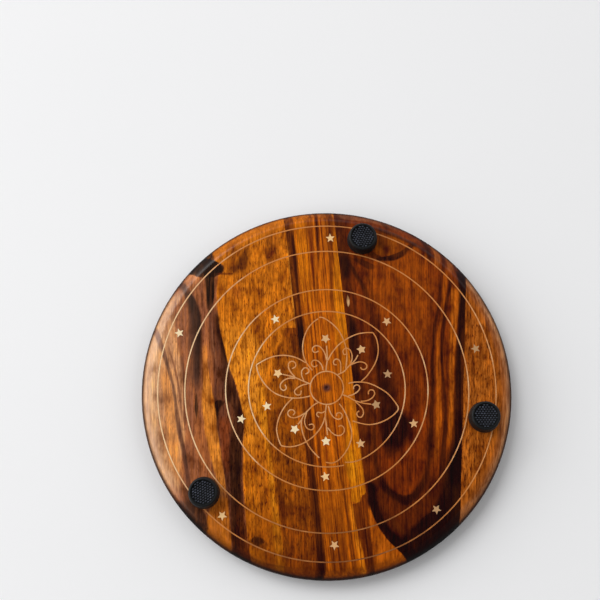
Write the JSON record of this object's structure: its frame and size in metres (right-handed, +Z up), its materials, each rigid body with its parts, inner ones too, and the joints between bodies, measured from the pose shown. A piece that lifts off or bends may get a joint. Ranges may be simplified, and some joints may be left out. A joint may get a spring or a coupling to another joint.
{
  "type": "round rolling board",
  "caption": "Round wooden dough rolling board with rubber feet and brass wire inlay on its underside, shown lying face down.",
  "frame": {"origin": "centre of the plain rolling face, which lies on the floor as in the picture", "axes": "+Z up through the board's thickness towards the inlaid underside and the feet, +Y towards the top of the picture, +X to its right"},
  "size_m": [0.258, 0.258, 0.027],
  "materials": {
    "left_wood": "glossy lacquer over orange-brown wood with dark streaks",
    "middle_wood": "glossy lacquer over orange and red-brown wood",
    "wide_wood": "glossy lacquer over dark red-brown wood with arched grain",
    "right_wood": "glossy lacquer over mid-brown wood",
    "inlay_brass": "sanded flush and lacquered",
    "foot_rubber": "black, smooth rim round a knurled tread"
  },
  "bodies": {
    "root": {"bottom_petal_wires": "inlay_brass", "bottom_scroll_wires": "inlay_brass", "bottom_stem_wire": "inlay_brass", "centre_ring_wire": "inlay_brass", "fourth_ring_wire": "inlay_brass", "gap_star_bottom": "inlay_brass", "gap_star_left": "inlay_brass", "gap_star_right": "inlay_brass", "left_foot": "foot_rubber", "left_petal_wire": "inlay_brass", "left_scroll_wires": "inlay_brass", "left_stave": "left_wood", "left_stem_wire": "inlay_brass", "lower_left_petal_wire": "inlay_brass", "lower_left_scroll_wires": "inlay_brass", "lower_left_stem_wires": "inlay_brass", "middle_star_bottom": "inlay_brass", "middle_star_left": "inlay_brass", "middle_star_right": "inlay_brass", "middle_star_upper_left": "inlay_brass", "middle_star_upper_right": "inlay_brass", "middle_stave": "middle_wood", "outer_ring_wire": "inlay_brass", "outer_star_bottom": "inlay_brass", "outer_star_left": "inlay_brass", "outer_star_lower_left": "inlay_brass", "outer_star_lower_right": "inlay_brass", "outer_star_right": "inlay_brass", "outer_star_top": "inlay_brass", "petal_star_bottom": "inlay_brass", "petal_star_left": "inlay_brass", "petal_star_lower_left": "inlay_brass", "petal_star_right": "inlay_brass", "petal_star_top": "inlay_brass", "petal_star_upper_right": "inlay_brass", "right_foot": "foot_rubber", "right_petal_wire": "inlay_brass", "right_scroll_wires": "inlay_brass", "right_stave": "right_wood", "right_stem_wire": "inlay_brass", "second_ring_wire": "inlay_brass", "third_ring_wire": "inlay_brass", "top_foot": "foot_rubber", "top_petal_wires": "inlay_brass", "top_scroll_wires": "inlay_brass", "top_stem_wire": "inlay_brass", "upper_right_petal_wire": "inlay_brass", "upper_right_scroll_wires": "inlay_brass", "upper_right_stem_wire": "inlay_brass", "wide_stave": "wide_wood"}
  },
  "joints": []
}
